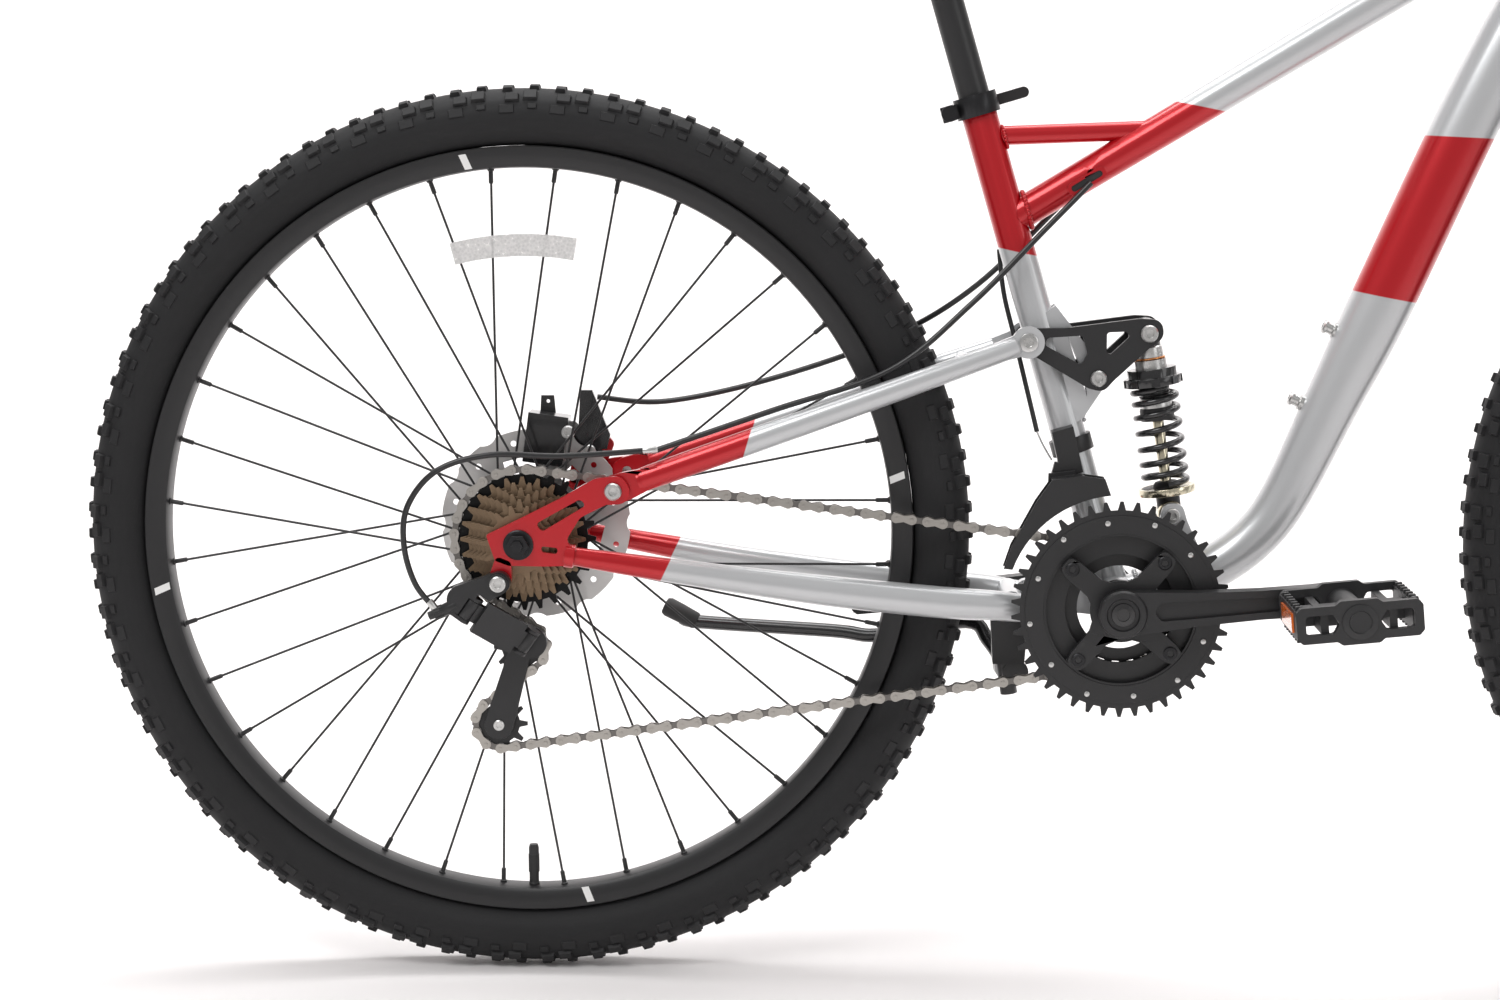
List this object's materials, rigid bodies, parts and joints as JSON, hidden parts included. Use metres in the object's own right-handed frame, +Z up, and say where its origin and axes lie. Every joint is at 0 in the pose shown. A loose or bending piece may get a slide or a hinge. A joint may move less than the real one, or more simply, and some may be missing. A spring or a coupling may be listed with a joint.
{
  "type": "full-suspension mountain bicycle",
  "caption": "Full-suspension mountain bike with a red and silver frame, black coil shock, disc brakes and a folded kickstand.",
  "frame": {"origin": "on the ground, midway between the wheel axles, in the middle plane", "axes": "+X towards the front wheel, +Y to the rider's left, +Z up"},
  "size_m": [1.8637, 0.6864, 1.05],
  "materials": {
    "frame_paint": "gloss silver lacquer over light alloy",
    "red_paint": "gloss red lacquer over light alloy",
    "black_paint": "satin black lacquer over light alloy",
    "black_steel": "satin black over steel",
    "anodised_black": "black anodised",
    "bright_steel": "satin",
    "shaft_steel": "polished, warm",
    "chain_steel": "oiled",
    "cog_steel": "browned",
    "tyre_rubber": "matte",
    "black_rubber": "matte",
    "black_plastic": "matte",
    "saddle_cover": "smooth synthetic cover"
  },
  "bodies": {
    "frame": {"seat_tube": "red_paint", "top_tube": "red_paint", "down_tube": "frame_paint", "head_tube": "frame_paint", "bearing_cups": "anodised_black", "frame_bolts": "bright_steel", "seat_collar": "anodised_black", "front_derailleur_mount": "black_paint", "chain": "chain_steel", "cables": "black_plastic"},
    "seat_release": {"seat_lever": "anodised_black"},
    "front_changer": {"front_derailleur_cage": "black_paint"},
    "seat": {"seatpost": "anodised_black", "saddle_rails": "black_steel", "saddle": "saddle_cover"},
    "swingarm": {"chainstays": "frame_paint", "rear_axle": "bright_steel", "rear_calliper": "black_paint", "kickstand_bracket": "black_paint"},
    "rear_brake_arm": {"rear_calliper_arm": "black_paint"},
    "kickstand": {"kickstand_leg": "black_steel"},
    "seatstay": {"seatstays": "frame_paint"},
    "rocker_link": {"rocker": "anodised_black", "rocker_bolts": "bright_steel"},
    "shock_lower": {"shock_shaft": "shaft_steel", "shock_spring": "black_steel"},
    "shock_upper": {"shock_body": "anodised_black"},
    "rear_wheel": {"rear_tyre": "tyre_rubber", "rear_rim": "anodised_black", "rear_tube": "black_rubber", "rear_spokes": "black_steel", "rear_hub": "anodised_black", "rear_rotor": "bright_steel"},
    "freewheel": {"cassette": "cog_steel"},
    "steering": {"fork_upper": "black_paint", "stem": "anodised_black", "handlebar": "black_paint", "grips": "black_rubber", "lever_clamps": "black_plastic"},
    "fork_lower": {"fork_lowers": "black_paint", "front_calliper": "black_paint"},
    "front_wheel": {"front_tyre": "tyre_rubber", "front_rim": "anodised_black", "front_tube": "black_rubber", "front_spokes": "black_steel", "front_hub": "anodised_black", "front_rotor": "bright_steel"},
    "crank": {"crank_right": "anodised_black", "crank_left": "anodised_black", "chainrings": "black_steel"},
    "pedal_r": {"pedal_right": "black_plastic"},
    "pedal_l": {"pedal_left": "black_plastic"},
    "changer_knuckle": {"derailleur_knuckle": "black_paint"},
    "changer_link": {"derailleur_link": "black_paint"},
    "changer_lower": {"derailleur_p_knuckle": "black_paint"},
    "changer_cage": {"derailleur_cage": "black_paint"},
    "guide_wheel": {"guide_pulley": "black_plastic"},
    "tension_wheel": {"tension_pulley": "black_plastic"},
    "brake_r": {"brake_lever_right": "black_paint"},
    "brake_l": {"brake_lever_left": "black_paint"}
  },
  "joints": [
    {"name": "rear_suspension", "type": "hinge", "parent": "frame", "child": "swingarm", "pos_m": [-0.128, 0, 0.314], "axis": [0, 1, 0], "range_deg": [0, 7], "stiffness_Nm_per_rad": 3100, "springref_deg": -1.15, "deforming": ["chain", "cables"]},
    {"name": "seatstay_pivot", "type": "hinge", "parent": "swingarm", "child": "seatstay", "pos_m": [-0.4883, 0, 0.4103], "axis": [0, 1, 0], "range_deg": [-4, 0]},
    {"name": "rocker_pivot", "type": "hinge", "parent": "frame", "child": "rocker_link", "pos_m": [-0.09899, 0, 0.49582], "axis": [0, 1, 0], "range_deg": [0, 28.5]},
    {"name": "shock_tilt", "type": "hinge", "parent": "frame", "child": "shock_lower", "pos_m": [-0.03758, 0, 0.3836], "axis": [0, 1, 0], "range_deg": [0, 4.6]},
    {"name": "shock_stroke", "type": "slide", "parent": "shock_lower", "child": "shock_upper", "axis": [0.1403, 0, -0.9901], "range_m": [0, 0.0245], "deforming": ["shock_spring"]},
    {"name": "rear_wheel_spin", "type": "hinge", "parent": "swingarm", "child": "rear_wheel", "pos_m": [-0.565, 0, 0.367], "axis": [0, 1, 0], "continuous": true},
    {"name": "freewheel_spin", "type": "hinge", "parent": "swingarm", "child": "freewheel", "pos_m": [-0.565, 0, 0.367], "axis": [0, 1, 0], "continuous": true, "deforming": ["chain"]},
    {"name": "crank_spin", "type": "hinge", "parent": "frame", "child": "crank", "pos_m": [-0.082, 0, 0.3125], "axis": [0, 1, 0], "continuous": true, "deforming": ["chain"]},
    {"name": "pedal_right_spin", "type": "hinge", "parent": "crank", "child": "pedal_r", "pos_m": [0.08754, 0, 0.32495], "axis": [0, 1, 0], "continuous": true},
    {"name": "pedal_left_spin", "type": "hinge", "parent": "crank", "child": "pedal_l", "pos_m": [-0.25154, 0, 0.30005], "axis": [0, 1, 0], "continuous": true},
    {"name": "steering", "type": "hinge", "parent": "frame", "child": "steering", "pos_m": [0.52258, 0, 0.35198], "axis": [-0.3338, 0, 0.9426], "range_deg": [-60, 60], "deforming": ["cables"]},
    {"name": "fork_travel", "type": "slide", "parent": "steering", "child": "fork_lower", "axis": [-0.3338, 0, 0.9426], "range_m": [0, 0.08], "stiffness_N_per_m": 6000, "springref_m": -0.02, "deforming": ["cables"]},
    {"name": "front_wheel_spin", "type": "hinge", "parent": "fork_lower", "child": "front_wheel", "pos_m": [0.565, 0, 0.367], "axis": [0, 1, 0], "continuous": true},
    {"name": "kickstand_fold", "type": "hinge", "parent": "swingarm", "child": "kickstand", "pos_m": [-0.17, 0.026, 0.2505], "axis": [-0.2147, 0.9767, 0], "range_deg": [-116, 0]},
    {"name": "seat_height", "type": "slide", "parent": "frame", "child": "seat", "axis": [-0.2756, 0, 0.9613], "range_m": [-0.07, 0.06]},
    {"name": "seat_quick_release", "type": "hinge", "parent": "frame", "child": "seat_release", "pos_m": [-0.21961, 0.014, 0.70788], "axis": [-0.2756, 0, 0.9613], "range_deg": [0, 125]},
    {"name": "front_changer_shift", "type": "slide", "parent": "frame", "child": "front_changer", "axis": [0, -1, 0], "range_m": [0, 0.014], "deforming": ["chain"]},
    {"name": "changer_mount", "type": "hinge", "parent": "swingarm", "child": "changer_knuckle", "pos_m": [-0.5803, 0, 0.3373], "axis": [0, 1, 0], "range_deg": [0, 20], "deforming": ["chain", "cables"]},
    {"name": "changer_link_a", "type": "hinge", "parent": "changer_knuckle", "child": "changer_link", "pos_m": [-0.605, -0.078, 0.316], "axis": [0.5707, 0, 0.8211], "range_deg": [-31, 0], "deforming": ["chain"]},
    {"name": "changer_link_b", "type": "hinge", "parent": "changer_link", "child": "changer_lower", "pos_m": [-0.56204, -0.05802, 0.28614], "axis": [0.5707, 0, 0.8211], "range_deg": [0, 31], "deforming": ["chain"]},
    {"name": "cage_pivot", "type": "hinge", "parent": "changer_lower", "child": "changer_cage", "pos_m": [-0.559, 0, 0.283], "axis": [0, 1, 0], "range_deg": [-35, 25], "deforming": ["chain"]},
    {"name": "guide_spin", "type": "hinge", "parent": "changer_cage", "child": "guide_wheel", "pos_m": [-0.568, -0.036, 0.277], "axis": [0, 1, 0], "continuous": true, "deforming": ["chain"]},
    {"name": "tension_spin", "type": "hinge", "parent": "changer_cage", "child": "tension_wheel", "pos_m": [-0.587, -0.036, 0.213], "axis": [0, 1, 0], "continuous": true, "deforming": ["chain"]},
    {"name": "brake_left", "type": "hinge", "parent": "steering", "child": "brake_l", "pos_m": [0.38264, 0.17027, 1.01619], "axis": [0.568, 0.0798, 0.8192], "range_deg": [0, 18], "stiffness_Nm_per_rad": 1.5},
    {"name": "brake_right", "type": "hinge", "parent": "steering", "child": "brake_r", "pos_m": [0.38264, -0.17027, 1.01619], "axis": [-0.568, 0.0798, -0.8192], "range_deg": [0, 18], "stiffness_Nm_per_rad": 1.5},
    {"name": "rear_brake_pull", "type": "hinge", "parent": "swingarm", "child": "rear_brake_arm", "pos_m": [-0.555, 0.069, 0.438], "axis": [0, 1, 0], "range_deg": [0, 14.5], "deforming": ["cables"]}
  ],
  "couplings": [
    {"joint": "seatstay_pivot", "follows": "rear_suspension", "ratio": -0.5388},
    {"joint": "rocker_pivot", "follows": "rear_suspension", "ratio": 4.028},
    {"joint": "shock_tilt", "follows": "rear_suspension", "ratio": 0.6345},
    {"joint": "shock_stroke", "follows": "rear_suspension", "m_per_rad": 0.19795},
    {"joint": "freewheel_spin", "follows": "crank_spin", "ratio": 0.85714},
    {"joint": "guide_spin", "follows": "crank_spin", "ratio": -2.4},
    {"joint": "tension_spin", "follows": "crank_spin", "ratio": 2.4},
    {"joint": "changer_link_b", "follows": "changer_link_a", "ratio": -1},
    {"joint": "rear_brake_pull", "follows": "brake_right", "ratio": 0.8}
  ]
}
